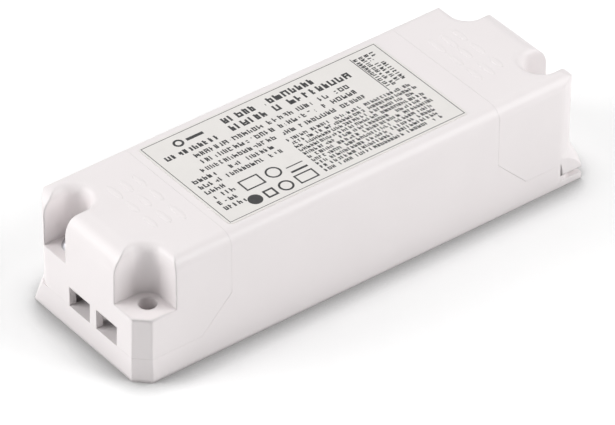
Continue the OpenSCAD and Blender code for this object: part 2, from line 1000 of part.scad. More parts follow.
// Small moulded chip that rests on the feet of its pins
module chip(size, pins) {
    lift = 0.3;
    pin_w = size[0] / pins / 2;
    translate([-size[0] / 2, -size[1] / 2, lift])
        cube([size[0], size[1], size[2] - lift]);
    for (side = [-1, 1], i = [0 : pins - 1])
        translate([(i + 0.5) * size[0] / pins - size[0] / 2, side * size[1] / 2, size[2] / 4])
            cube([pin_w, 2 * pin_reach, size[2] / 2], center = true);
}

module controller_chip() {
    color(black)
        under_board(trans_x, trans_y)
            chip(chip_size, chip_pins);
}

module optocoupler() {
    color(black)
        under_board((trans_x + outcap_x) / 2, board_w / 4)
            chip(coupler_size, coupler_pins);
}

module safety_capacitor() {
    color([0.2, 0.35, 0.65])
        on_board(outcap_x, safety_y)
            disc_part(safety_d, safety_t);
}

// Core with two windows either side of its middle leg, seen from the end of the case
module transformer_core() {
    color(black)
        on_board(trans_x, trans_y)
            translate([-leg_t, 0, 0])
                along_case(2 * leg_t)
                    difference() {
                        translate([-core_w / 2, 0])
                            square([core_w, core_h]);
                        for (side = [-1, 1])
                            translate([side * (mid_leg + window_w) / 2 - window_w / 2, leg_t])
                                square([window_w, window_h]);
                    }
}

// Ring of given thickness round the middle leg of the core, seen from above
module leg_ring(gap, t) {
    hole = [2 * leg_t + 2 * gap, mid_leg + 2 * gap];
    difference() {
        square([hole[0] + 2 * t, hole[1] + 2 * t], center = true);
        square(hole, center = true);
    }
}

module transformer_bobbin() {
    bobbin_h = window_h - 2 * fit_gap;
    color([0.2, 0.2, 0.22])
        on_board(trans_x, trans_y)
            translate([0, 0, leg_t + fit_gap]) {
                linear_extrude(bobbin_h)
                    leg_ring(fit_gap, bobbin_t);
                for (z = [0, bobbin_h - flange_t])
                    translate([0, 0, z])
                        linear_extrude(flange_t)
                            leg_ring(fit_gap, bobbin_t + winding_room);
            }
}

module transformer_winding() {
    color([0.85, 0.7, 0.15])
        on_board(trans_x, trans_y)
            translate([0, 0, leg_t + fit_gap + flange_t])
                linear_extrude(window_h - 2 * fit_gap - 2 * flange_t)
                    leg_ring(fit_gap + bobbin_t, winding_room);
}

module output_capacitor_1() {
    color([0.15, 0.17, 0.22])
        on_board(outcap_x, outcap_1_y)
            can(outcap_d, outcap_h);
}

module output_capacitor_2() {
    color([0.15, 0.17, 0.22])
        on_board(outcap_x, outcap_2_y)
            can(outcap_d, outcap_h);
}

module output_diode() {
    color(black)
        under_board(outcap_x, 0)
            chip(diode_size, diode_pins);
}

module output_choke() {
    color(black)
        on_board(outcap_x, drum_y) {
            cylinder(d = drum_core_d, h = drum_h);
            for (z = [0, drum_h - drum_flange])
                translate([0, 0, z])
                    cylinder(d = drum_d, h = drum_flange);
        }
}

module output_choke_winding() {
    color(copper)
        on_board(outcap_x, drum_y)
            translate([0, 0, drum_flange])
                difference() {
                    cylinder(d = drum_d - winding_t, h = drum_h - 2 * drum_flange);
                    translate([0, 0, -past])
                        cylinder(d = drum_core_d + 2 * fit_gap, h = drum_h);
                }
}

main_housing();
input_cover();
output_cover();
cover_screws();
rating_label();
circuit_board();
input_terminal();
output_terminal();
terminal_cages();
terminal_screws();
input_cable_clamp();
output_cable_clamp();
clamp_screws();
fuse();
varistor();
interference_capacitor();
choke_core();
choke_winding_line();
choke_winding_neutral();
bridge_rectifier();
bulk_capacitor();
transformer_core();
transformer_bobbin();
transformer_winding();
heat_sink();
switching_transistor();
controller_chip();
optocoupler();
safety_capacitor();
output_diode();
output_capacitor_1();
output_capacitor_2();
output_choke();
output_choke_winding();
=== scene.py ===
"""Dresses the LED driver: moulded plastic case, printed label, steel screws and a plain studio."""

import json
import math
from collections import namedtuple

import bmesh
import bpy
from bpy.props import FloatProperty, FloatVectorProperty, IntProperty, PointerProperty
from mathutils import Matrix, Vector


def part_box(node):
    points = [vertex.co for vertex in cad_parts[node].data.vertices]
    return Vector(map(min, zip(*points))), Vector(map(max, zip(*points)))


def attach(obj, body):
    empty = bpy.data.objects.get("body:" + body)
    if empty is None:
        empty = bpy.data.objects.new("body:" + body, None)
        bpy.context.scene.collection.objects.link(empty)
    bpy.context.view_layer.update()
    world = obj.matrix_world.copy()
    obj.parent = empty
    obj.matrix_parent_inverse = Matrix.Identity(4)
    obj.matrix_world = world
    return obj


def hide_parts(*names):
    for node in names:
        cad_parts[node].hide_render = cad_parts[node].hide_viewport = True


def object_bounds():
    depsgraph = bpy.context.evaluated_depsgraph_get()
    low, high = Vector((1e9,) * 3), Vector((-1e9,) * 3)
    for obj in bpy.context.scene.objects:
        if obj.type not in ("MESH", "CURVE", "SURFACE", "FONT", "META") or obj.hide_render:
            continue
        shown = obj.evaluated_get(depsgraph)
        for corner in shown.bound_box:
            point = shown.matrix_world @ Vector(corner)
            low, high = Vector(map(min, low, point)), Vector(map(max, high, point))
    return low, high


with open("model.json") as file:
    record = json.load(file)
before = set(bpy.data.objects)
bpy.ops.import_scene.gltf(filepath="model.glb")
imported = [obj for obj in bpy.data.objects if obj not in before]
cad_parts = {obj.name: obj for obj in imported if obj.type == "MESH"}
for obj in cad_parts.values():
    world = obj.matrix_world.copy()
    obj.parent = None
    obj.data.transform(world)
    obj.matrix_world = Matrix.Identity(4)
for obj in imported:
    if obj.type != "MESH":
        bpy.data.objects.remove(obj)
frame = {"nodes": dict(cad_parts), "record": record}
CAD_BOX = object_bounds()

bl_info = {
    "name": "LED Driver Finish",
    "version": (1, 0, 0),
    "blender": (4, 5, 0),
    "location": "View3D > Sidebar > LED Driver",
    "description": "Finishes an LED driver's case, label, screws and inner parts, and lights them",
    "category": "Object",
}

MM = 0.001
BODY = "root"
CASE_END, CASE_SIDE = CAD_BOX[1][0], CAD_BOX[1][1]
LABEL_LOW, LABEL_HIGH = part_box("rating_label")
COVERS = ("input_cover", "output_cover")
CLAMPS = ("input_cable_clamp", "output_cable_clamp")
# Attribute that holds how far the soft shading of an edge reaches, at each point of a moulding
SOFT_REACH = "soft_reach"
# Distance from the line of the seam within which a point counts as lying on it
SEAM_REACH = 0.35 * MM
# Room added to the leg of a chamfer when its corner is looked for
CHAMFER_ROOM = 0.5 * MM
# Points closer than this are merged, and faces that turn by less than this are joined
MERGE_DISTANCE = 0.002 * MM
FLAT_ANGLE = math.radians(0.4)
# Rays that soften the shading of an edge, and rays that look for what stands near the floor
EDGE_RAYS = 6
FLOOR_RAYS = 8
# Openness of the floor at which its painted shadow beside the case is darkest
PAINTED_SHADOW_START = 0.45
# Middle range of a noise, which is spread over the limits of a colour or gloss
NOISE_LOW, NOISE_HIGH = 0.3, 0.7
# Share by which gloss follows the grain of a surface
GLOSS_DRIFT = 0.12
# Detail of the noise in a grain
GRAIN_DETAIL = 3.0
# Finish that the case shares with the bars on its covers
PLASTIC_FINISH = {"roughness": 0.42, "mottle": 0.008, "patch": 14 * MM, "grain": 0.35 * MM,
                  "depth": 0.003 * MM}
# Chance that a made-up character has each of its strokes
LEFT_STEM, RIGHT_STEM = 0.9, 0.65
FOOT_BAR, MIDDLE_BAR, HEAD_BAR = 0.5, 0.45, 0.6
# Least height of a character's right stem, as a share of its left one
SHORTEST_STEM = 0.6
# Faces round and along a raised bar
BAR_SEGMENTS, BAR_RINGS = 24, 12
# Point that the lights face
LIGHT_AIM = Vector((0.0, 0.0, 0.015))

# Block of rows on the label: foot of its first character and sizes in millimetres, and turn in degrees
PrintBlock = namedtuple("PrintBlock", "x y rows pitch width height stroke turn")


class MouldingSettings(bpy.types.PropertyGroup):
    """Sizes and colour of the white moulded case."""

    edge_round: FloatProperty(
        name="Edge rounding", description="Rounding of the open edges of the case",
        default=0.45 * MM, unit="LENGTH")
    seam_round: FloatProperty(
        name="Seam rounding", description="Rounding of the edges along the seam of a cover",
        default=0.02 * MM, unit="LENGTH")
    seam_close: FloatProperty(
        name="Seam closing", description="How far the edge of a cover is drawn towards the housing",
        default=0.06 * MM, unit="LENGTH")
    soft_edge: FloatProperty(
        name="Soft edge", description="Reach of the soft shading beside an edge",
        default=0.6 * MM, unit="LENGTH")
    soft_corner: FloatProperty(
        name="Soft corner", description="Reach of the soft shading beside a chamfered corner",
        default=1.6 * MM, unit="LENGTH")
    chamfer: FloatProperty(
        name="Chamfer", description="Leg of the chamfered corners", default=3.2 * MM, unit="LENGTH")
    round_steps: IntProperty(
        name="Rounding steps", description="Faces across one rounded edge", default=3)
    sharp_angle: FloatProperty(
        name="Sharp angle", description="Edges that turn by more than this are rounded",
        default=math.radians(28), subtype="ANGLE")
    cover_length: FloatProperty(
        name="Cover length", description="Distance of the upright seam from the end of the case",
        default=24.4 * MM, unit="LENGTH")
    rim_height: FloatProperty(
        name="Rim height", description="Height of the level seam at the end of the case",
        default=6.4 * MM, unit="LENGTH")
    step_height: FloatProperty(
        name="Step height", description="Height where the slanted seam turns upright",
        default=14.6 * MM, unit="LENGTH")
    colour: FloatVectorProperty(
        name="Plastic", description="Colour of the moulded plastic",
        default=(0.865, 0.82, 0.822), subtype="COLOR")


class LabelSettings(bpy.types.PropertyGroup):
    """Sizes and colours of the label and its print."""

    film: FloatVectorProperty(
        name="Film", description="Colour of the label film", default=(0.815, 0.79, 0.765), subtype="COLOR")
    ink: FloatVectorProperty(
        name="Ink", description="Colour of the print", default=(0.028, 0.028, 0.029), subtype="COLOR")
    ink_height: FloatProperty(
        name="Ink height", description="Height of the print over the film", default=0.012 * MM, unit="LENGTH")
    frame_inset: FloatProperty(
        name="Frame inset", description="Distance of the printed frame from the edge of the film",
        default=0.5 * MM, unit="LENGTH")
    frame_line: FloatProperty(
        name="Frame line", description="Width of the printed frame's line", default=0.16 * MM, unit="LENGTH")


class MarkSettings(bpy.types.PropertyGroup):
    """Sizes of the raised bars on the covers."""

    rows: IntProperty(name="Rows", description="Rows of bars along the case", default=3)
    bars: IntProperty(name="Bars", description="Bars in one row across the case", default=3)
    row_pitch: FloatProperty(
        name="Row pitch", description="Distance from one row to the next", default=3.3 * MM, unit="LENGTH")
    bar_pitch: FloatProperty(
        name="Bar pitch", description="Distance from one bar to the next in a row",
        default=6.6 * MM, unit="LENGTH")
    shortest: FloatProperty(
        name="Shortest", description="Length of the shortest bar", default=4.4 * MM, unit="LENGTH")
    longest: FloatProperty(
        name="Longest", description="Length of the longest bar", default=6.5 * MM, unit="LENGTH")
    breadth: FloatProperty(
        name="Breadth", description="Width of a bar", default=1.5 * MM, unit="LENGTH")
    rise: FloatProperty(
        name="Rise", description="Height of the bars over the cover", default=0.13 * MM, unit="LENGTH")
    from_end: FloatProperty(
        name="From end", description="Distance of the middle row from the end of the case",
        default=17 * MM, unit="LENGTH")


class StageSettings(bpy.types.PropertyGroup):
    """Camera, floor and lights."""

    camera_place: FloatVectorProperty(
        name="Camera", description="Place of the camera", default=(-0.56125, -0.72131, 0.71458),
        subtype="TRANSLATION")
    camera_aim: FloatVectorProperty(
        name="Aim", description="Point that the camera looks at", default=(-0.00717, -0.00814, 0.0149),
        subtype="TRANSLATION")
    camera_roll: FloatProperty(
        name="Roll", description="Roll of the camera about its axis", default=math.radians(0.258),
        subtype="ANGLE")
    lens: FloatProperty(name="Lens", description="Focal length in millimetres", default=308.1)
    floor_size: FloatProperty(
        name="Floor", description="Side of the floor", default=6.0, unit="LENGTH")
    floor_colour: FloatVectorProperty(
        name="Floor colour", description="Colour of the floor", default=(0.9, 0.9, 0.9), subtype="COLOR")
    floor_lift: FloatProperty(
        name="Floor lift", description="Light added to the floor where the camera sees it", default=0.2)
    # Reach of the painted shadow: within this distance of the case the floor's colour is darkened
    painted_shadow_reach: FloatProperty(
        name="Painted shadow reach", description="How far the dark edge under the case spreads over the floor",
        default=9 * MM, unit="LENGTH")
    # Colour of the painted shadow: right beside the case the floor's colour is darkened towards this
    painted_shadow_colour: FloatVectorProperty(
        name="Painted shadow colour", description="Colour of the floor right beside the case",
        default=(0.4, 0.4, 0.4), subtype="COLOR")
    ambient: FloatProperty(
        name="Ambient", description="Strength of the even light from all round", default=0.32)
    left_place: FloatVectorProperty(
        name="Left place", description="Place of the light at the left", default=(-0.6, 0.4, 0.38),
        subtype="TRANSLATION")
    right_place: FloatVectorProperty(
        name="Right place", description="Place of the light at the right", default=(0.45, -0.55, 0.5),
        subtype="TRANSLATION")
    top_place: FloatVectorProperty(
        name="Top place", description="Place of the light overhead", default=(0.22, 0.32, 0.75),
        subtype="TRANSLATION")
    side_size: FloatProperty(
        name="Side size", description="Side of the lights at the left and the right",
        default=0.5, unit="LENGTH")
    top_size: FloatProperty(
        name="Top size", description="Side of the light overhead", default=0.6, unit="LENGTH")
    left_power: FloatProperty(
        name="Left light", description="Power of the light at the left", default=4.6, subtype="POWER")
    right_power: FloatProperty(
        name="Right light", description="Power of the light at the right", default=4.65, subtype="POWER")
    top_power: FloatProperty(
        name="Top light", description="Power of the light overhead", default=1.1, subtype="POWER")


def object_noise(tree, scale, detail=2.0):
    """Noise texture on the piece's own coordinates, in cycles a metre."""
    place = tree.nodes.new("ShaderNodeTexCoord")
    noise = tree.nodes.new("ShaderNodeTexNoise")
    noise.inputs["Scale"].default_value = scale
    noise.inputs["Detail"].default_value = detail
    tree.links.new(place.outputs["Object"], noise.inputs["Vector"])
    return noise.outputs["Fac"]


def blend_colours(tree, factor, first, second):
    """Mixes two colours by a factor."""
    mix = tree.nodes.new("ShaderNodeMix")
    mix.data_type = "RGBA"
    # The sockets for numbers come first and have the same names, so the colours go by their place
    share, first_colour, second_colour = (mix.inputs[number] for number in (0, 6, 7))
    first_colour.default_value = (*first, 1.0)
    second_colour.default_value = (*second, 1.0)
    tree.links.new(factor, share)
    return mix.outputs[2]


def spread(tree, factor, low, high):
    """Maps a noise's middle range onto two limits."""
    remap = tree.nodes.new("ShaderNodeMapRange")
    remap.inputs["From Min"].default_value = NOISE_LOW
    remap.inputs["From Max"].default_value = NOISE_HIGH
    remap.inputs["To Min"].default_value = low
    remap.inputs["To Max"].default_value = high
    tree.links.new(factor, remap.inputs["Value"])
    return remap.outputs["Result"]


def finish_material(name, colour, roughness, mottle=0.03, patch=8 * MM, grain=0.3 * MM, depth=0.004 * MM,
                    metallic=0.0, coat=0.0, soften=False):
    """Surface whose colour drifts in patches and whose gloss and relief follow a fine grain."""
    material = bpy.data.materials.new(name)
    material.use_nodes = True
    tree = material.node_tree
    shader = tree.nodes["Principled BSDF"]
    patches = spread(tree, object_noise(tree, 1.0 / patch), 0.0, 1.0)
    dark = [channel * (1.0 - mottle) for channel in colour]
    light = [min(channel * (1.0 + mottle), 1.0) for channel in colour]
    tree.links.new(blend_colours(tree, patches, dark, light), shader.inputs["Base Color"])
    grains = object_noise(tree, 1.0 / grain, GRAIN_DETAIL)
    gloss = spread(tree, grains, roughness * (1.0 - GLOSS_DRIFT), roughness * (1.0 + GLOSS_DRIFT))
    tree.links.new(gloss, shader.inputs["Roughness"])
    bump = tree.nodes.new("ShaderNodeBump")
    bump.inputs["Strength"].default_value = 1.0
    bump.inputs["Distance"].default_value = depth
    tree.links.new(grains, bump.inputs["Height"])
    tree.links.new(bump.outputs["Normal"], shader.inputs["Normal"])
    if soften:
        rounding = tree.nodes.new("ShaderNodeBevel")
        rounding.samples = EDGE_RAYS
        reach = tree.nodes.new("ShaderNodeAttribute")
        reach.attribute_name = SOFT_REACH
        tree.links.new(reach.outputs["Fac"], rounding.inputs["Radius"])
        tree.links.new(rounding.outputs["Normal"], bump.inputs["Normal"])
    shader.inputs["Metallic"].default_value = metallic
    shader.inputs["Coat Weight"].default_value = coat
    return material


def show(name, mesh, material):
    """Makes a piece of a mesh that is already in place, and lets it ride with the case."""
    piece = bpy.data.objects.new(name, mesh)
    bpy.context.scene.collection.objects.link(piece)
    mesh.materials.clear()
    mesh.materials.append(material)
    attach(piece, BODY)
    return piece


def dress(node, material):
    """Gives a carried-over solid its material."""
    materials = frame["nodes"][node].data.materials
    materials.clear()
    materials.append(material)


def evaluated_mesh(piece, name):
    """Plain mesh of a piece with its modifiers applied."""
    graph = bpy.context.evaluated_depsgraph_get()
    mesh = bpy.data.meshes.new_from_object(piece.evaluated_get(graph))
    mesh.name = name
    return mesh


def slant_start(sizes):
    """Distance from the end of the case at which the level seam turns up at 45 degrees."""
    return sizes.cover_length - (sizes.step_height - sizes.rim_height)


def near_seam(point, sizes):
    """Whether a point lies on the seam between the housing and a cover."""
    inward = CASE_END - abs(point.x)
    if point.z > sizes.step_height - SEAM_REACH:
        return abs(inward - sizes.cover_length) < SEAM_REACH
    if inward < slant_start(sizes) + SEAM_REACH:
        return abs(point.z - sizes.rim_height) < SEAM_REACH
    slant_z = sizes.rim_height + inward - slant_start(sizes)
    return abs(point.z - slant_z) < 2 * SEAM_REACH


def near_chamfer(point, sizes):
    """Whether a point lies on a chamfered corner, which the case has at two opposite corners."""
    corner = (CASE_END - abs(point.x)) + (CASE_SIDE - abs(point.y))
    return point.x * point.y > 0 and corner < sizes.chamfer + CHAMFER_ROOM


def soft_reach(point, sizes):
    """How far the soft shading reaches at a point of a moulding."""
    if near_seam(point, sizes):
        return 0.0
    return sizes.soft_corner if near_chamfer(point, sizes) else sizes.soft_edge


def towards_housing(point, sizes):
    """Direction from a cover's seam edge to the housing's."""
    inwards = -math.copysign(1.0, point.x)
    if point.z > sizes.step_height:
        return Vector((inwards, 0.0, 0.0))
    if CASE_END - abs(point.x) < slant_start(sizes):
        return Vector((0.0, 0.0, -1.0))
    return Vector((inwards, 0.0, -1.0)).normalized()


def rounded_copy(node, name, sizes):
    """Copy of a solid's mesh with its sharp edges rounded, less so along the seam."""
    bm = bmesh.new()
    bm.from_mesh(frame["nodes"][node].data)
    bmesh.ops.remove_doubles(bm, verts=bm.verts, dist=MERGE_DISTANCE)
    bmesh.ops.dissolve_limit(bm, angle_limit=FLAT_ANGLE, verts=bm.verts, edges=bm.edges)
    if node in COVERS:
        for vert in bm.verts:
            if near_seam(vert.co, sizes):
                vert.co += sizes.seam_close * towards_housing(vert.co, sizes)
    weights = bm.edges.layers.float.new("bevel_weight_edge")
    for edge in bm.edges:
        if len(edge.link_faces) != 2 or edge.calc_face_angle(0.0) < sizes.sharp_angle:
            continue
        middle = (edge.verts[0].co + edge.verts[1].co) / 2
        edge[weights] = sizes.seam_round / sizes.edge_round if near_seam(middle, sizes) else 1.0
    mesh = bpy.data.meshes.new(name)
    bm.to_mesh(mesh)
    bm.free()
    for polygon in mesh.polygons:
        polygon.use_smooth = True
    rough = bpy.data.objects.new(name + "_rough", mesh)
    bpy.context.scene.collection.objects.link(rough)
    bevel = rough.modifiers.new("Round edges", "BEVEL")
    bevel.limit_method = "WEIGHT"
    bevel.width = sizes.edge_round
    bevel.segments = sizes.round_steps
    bevel.use_clamp_overlap = True
    flow = rough.modifiers.new("Even shading", "WEIGHTED_NORMAL")
    flow.keep_sharp = True
    result = evaluated_mesh(rough, name)
    bpy.data.objects.remove(rough)
    reach = result.attributes.new(SOFT_REACH, "FLOAT", "POINT")
    for vertex, item in zip(result.vertices, reach.data):
        item.value = soft_reach(vertex.co, sizes)
    return result


class DRIVER_OT_mouldings(bpy.types.Operator):
    """Rounds the edges of the housing and its covers and gives them moulded plastic."""

    bl_idname = "led_driver.mouldings"
    bl_label = "Mouldings"

    def execute(self, context):
        sizes = context.scene.driver_moulding
        plastic = finish_material("moulded_plastic", sizes.colour, soften=True, **PLASTIC_FINISH)
        for node in CLAMPS:
            dress(node, plastic)
        for node in ("main_housing", *COVERS):
            name = node + "_moulding"
            piece = show(name, rounded_copy(node, name, sizes), plastic)
            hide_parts(node)
        return {"FINISHED"}


class TreeMaker:
    """Shorthand for building a node tree."""

    def __init__(self, name):
        self.tree = bpy.data.node_groups.new(name, "GeometryNodeTree")
        self.tree.interface.new_socket("Geometry", in_out="OUTPUT", socket_type="NodeSocketGeometry")
        self.entry = self.tree.nodes.new("NodeGroupInput")
        self.exit = self.tree.nodes.new("NodeGroupOutput")

    def ask(self, name, kind):
        """Adds a named input to the tree."""
        self.tree.interface.new_socket(name, in_out="INPUT", socket_type="NodeSocket" + kind)

    def add(self, kind, **values):
        """Adds a node and sets its plain attributes."""
        node = self.tree.nodes.new(kind)
        for key, value in values.items():
            setattr(node, key, value)
        return node

    def join(self, source, target):
        """Links an output to an input."""
        self.tree.links.new(source, target)

    def feed(self, value, target):
        """Sets an input to a plain number, or links a socket to it."""
        if isinstance(value, (int, float)):
            target.default_value = value
        else:
            self.join(value, target)

    def maths(self, operation, first, second):
        """Maths node on sockets or plain numbers."""
        node = self.add("ShaderNodeMath", operation=operation)
        for socket, value in zip(node.inputs, (first, second)):
            self.feed(value, socket)
        return node.outputs[0]

    def random(self, low, high, identity, seed):
        """Random number for each point, between two sockets or numbers."""
        node = self.add("FunctionNodeRandomValue", data_type="FLOAT")
        for name, value in (("Min", low), ("Max", high)):
            self.feed(value, next(s for s in node.inputs if s.name == name and s.type == "VALUE"))
        self.join(identity, node.inputs["ID"])
        self.join(seed, node.inputs["Seed"])
        return next(s for s in node.outputs if s.type == "VALUE")

    def finish(self, geometry, material):
        """Turns and places the copies, makes them real and gives them the named material."""
        ask = self.entry.outputs
        turn = self.add("ShaderNodeCombineXYZ")
        self.join(ask["Turn"], turn.inputs["Z"])
        move = self.add("GeometryNodeTransform")
        self.join(geometry, move.inputs["Geometry"])
        self.join(ask["Place"], move.inputs["Translation"])
        self.join(turn.outputs[0], move.inputs["Rotation"])
        solid = self.add("GeometryNodeRealizeInstances")
        self.join(move.outputs[0], solid.inputs[0])
        paint = self.add("GeometryNodeSetMaterial")
        self.join(solid.outputs[0], paint.inputs["Geometry"])
        self.join(ask[material], paint.inputs["Material"])
        self.join(paint.outputs[0], self.exit.inputs[0])


def greeked_tree():
    """Tree that sets rows of made-up characters, each of up to two stems and three bars, with word gaps."""
    make = TreeMaker("Greeked rows")
    for name, kind in (("Rows", "Int"), ("Characters", "Int"), ("Pitch", "Float"), ("Height", "Float"),
                       ("Narrow", "Float"), ("Wide", "Float"), ("Stroke", "Float"), ("Gap", "Float"),
                       ("Word gaps", "Float"), ("Width", "Float"), ("Ragged", "Float"), ("Rise", "Float"),
                       ("Seed", "Int"), ("Place", "Vector"), ("Turn", "Float"), ("Ink", "Material")):
        make.ask(name, kind)
    ask = make.entry.outputs
    points = make.add("GeometryNodePoints")
    make.join(make.maths("MULTIPLY", ask["Rows"], ask["Characters"]), points.inputs["Count"])
    index = make.add("GeometryNodeInputIndex").outputs["Index"]
    row = make.maths("FLOOR", make.maths("DIVIDE", index, ask["Characters"]), 0.0)
    # One seed for each random choice
    seeds = [make.maths("ADD", ask["Seed"], step) for step in range(9)]
    width_seed, end_seed, word_seed, stem_seed, *stroke_seeds = seeds
    width = make.random(ask["Narrow"], ask["Wide"], index, width_seed)
    running = make.add("GeometryNodeAccumulateField", data_type="FLOAT")
    make.join(make.maths("ADD", width, ask["Gap"]), running.inputs["Value"])
    make.join(row, running.inputs["Group ID"])
    start = running.outputs["Trailing"]
    cut = make.maths("MULTIPLY", make.random(0.0, 1.0, row, end_seed), ask["Ragged"])
    line_end = make.maths("MULTIPLY", ask["Width"], make.maths("SUBTRACT", 1.0, cut))
    inside = make.maths("LESS_THAN", make.maths("ADD", start, width), line_end)
    word = make.maths("GREATER_THAN", make.random(0.0, 1.0, index, word_seed), ask["Word gaps"])
    keep = make.maths("MULTIPLY", inside, word)
    foot = make.maths("MULTIPLY", make.maths("MULTIPLY", row, ask["Pitch"]), -1.0)
    block = make.add("GeometryNodeMeshCube")
    block.inputs["Size"].default_value = (1.0, 1.0, 1.0)
    thick = make.maths("MULTIPLY", ask["Rise"], 2.0)
    short = make.maths("MULTIPLY", make.random(SHORTEST_STEM, 1.0, index, stem_seed), ask["Height"])
    all_strokes = make.add("GeometryNodeJoinGeometry")

    def strokes(left, low, wide, tall, chance, seed):
        """Adds one stroke to each character, with a chance of being there."""
        place = make.add("ShaderNodeCombineXYZ")
        middle = make.maths("ADD", left, make.maths("MULTIPLY", wide, 0.5))
        make.join(make.maths("ADD", start, middle), place.inputs["X"])
        middle = make.maths("ADD", low, make.maths("MULTIPLY", tall, 0.5))
        make.join(make.maths("ADD", foot, middle), place.inputs["Y"])
        put = make.add("GeometryNodeSetPosition")
        make.join(points.outputs[0], put.inputs["Geometry"])
        make.join(place.outputs[0], put.inputs["Position"])
        size = make.add("ShaderNodeCombineXYZ")
        for value, socket in zip((wide, tall, thick), size.inputs):
            make.join(value, socket)
        there = make.maths("LESS_THAN", make.random(0.0, 1.0, index, seed), chance)
        copies = make.add("GeometryNodeInstanceOnPoints")
        make.join(put.outputs[0], copies.inputs["Points"])
        make.join(make.maths("MULTIPLY", keep, there), copies.inputs["Selection"])
        make.join(block.outputs["Mesh"], copies.inputs["Instance"])
        make.join(size.outputs[0], copies.inputs["Scale"])
        make.join(copies.outputs[0], all_strokes.inputs[0])

    stroke = ask["Stroke"]
    right = make.maths("SUBTRACT", width, stroke)
    bar = make.maths("SUBTRACT", right, stroke)
    high = make.maths("SUBTRACT", short, stroke)
    strokes(0.0, 0.0, stroke, ask["Height"], LEFT_STEM, stroke_seeds[0])
    strokes(right, 0.0, stroke, short, RIGHT_STEM, stroke_seeds[1])
    strokes(stroke, 0.0, bar, stroke, FOOT_BAR, stroke_seeds[2])
    strokes(stroke, make.maths("MULTIPLY", high, 0.5), bar, stroke, MIDDLE_BAR, stroke_seeds[3])
    strokes(stroke, high, bar, stroke, HEAD_BAR, stroke_seeds[4])
    make.finish(all_strokes.outputs[0], "Ink")
    return make.tree


def run_tree(tree, name, values):
    """Plain mesh made by a tree with the given inputs."""
    holder = bpy.data.objects.new(name, bpy.data.meshes.new(name + "_empty"))
    bpy.context.scene.collection.objects.link(holder)
    modifier = holder.modifiers.new("Rows", "NODES")
    modifier.node_group = tree
    for socket in tree.interface.items_tree:
        if socket.in_out == "INPUT" and socket.name in values:
            modifier[socket.identifier] = values[socket.name]
    holder.update_tag()
    mesh = evaluated_mesh(holder, name)
    holder.modifiers.remove(modifier)
    bpy.data.objects.remove(holder)
    return mesh


def joined(name, meshes):
    """One mesh out of several."""
    bm = bmesh.new()
    for mesh in meshes:
        bm.from_mesh(mesh)
    whole = bpy.data.meshes.new(name)
    bm.to_mesh(whole)
    bm.free()
    return whole


def on_label(x, y):
    """Point on the film, given in millimetres from its lower left corner."""
    return Vector((LABEL_LOW.x + x * MM, LABEL_LOW.y + y * MM, LABEL_HIGH.z))


def flat_shape(outlines, rise):
    """Thin closed solid over the film from an outer outline and an optional inner one of as many points."""
    bm = bmesh.new()
    levels = (LABEL_HIGH.z - rise, LABEL_HIGH.z + rise)
    rings = []
    for outline in outlines:
        rings.append([[bm.verts.new((*point, level)) for point in outline] for level in levels])
    count = len(outlines[0])
    for step in range(count):
        after = (step + 1) % count
        for low, high in rings:
            bm.faces.new((low[step], low[after], high[after], high[step]))
        if len(rings) == 2:
            for level in (0, 1):
                outer, inner = rings[0][level], rings[1][level]
                bm.faces.new((outer[step], outer[after], inner[after], inner[step]))
    if len(rings) == 1:
        bm.faces.new(rings[0][0])
        bm.faces.new(rings[0][1])
    bmesh.ops.recalc_face_normals(bm, faces=bm.faces)
    mesh = bpy.data.meshes.new("shape")
    bm.to_mesh(mesh)
    bm.free()
    return mesh


def box_outline(x0, y0, x1, y1):
    """Corners of a rectangle on the film."""
    return [on_label(*corner).to_2d() for corner in ((x0, y0), (x1, y0), (x1, y1), (x0, y1))]


def round_outline(x, y, radius, steps=32):
    """Points of a circle on the film."""
    angles = [2 * math.pi * step / steps for step in range(steps)]
    return [on_label(x + radius * math.cos(a), y + radius * math.sin(a)).to_2d() for a in angles]


def filled_box(x, y, width, height):
    """Outline of a filled box, from its lower left corner."""
    return [box_outline(x, y, x + width, y + height)]


def drawn_box(x, y, width, height, line):
    """Outlines of a box drawn with a line, from its lower left corner."""
    inner = box_outline(x + line, y + line, x + width - line, y + height - line)
    return [box_outline(x, y, x + width, y + height), inner]


def filled_circle(x, y, radius):
    """Outline of a filled circle."""
    return [round_outline(x, y, radius)]


def drawn_circle(x, y, radius, line):
    """Outlines of a circle drawn with a line."""
    return [round_outline(x, y, radius), round_outline(x, y, radius - line)]


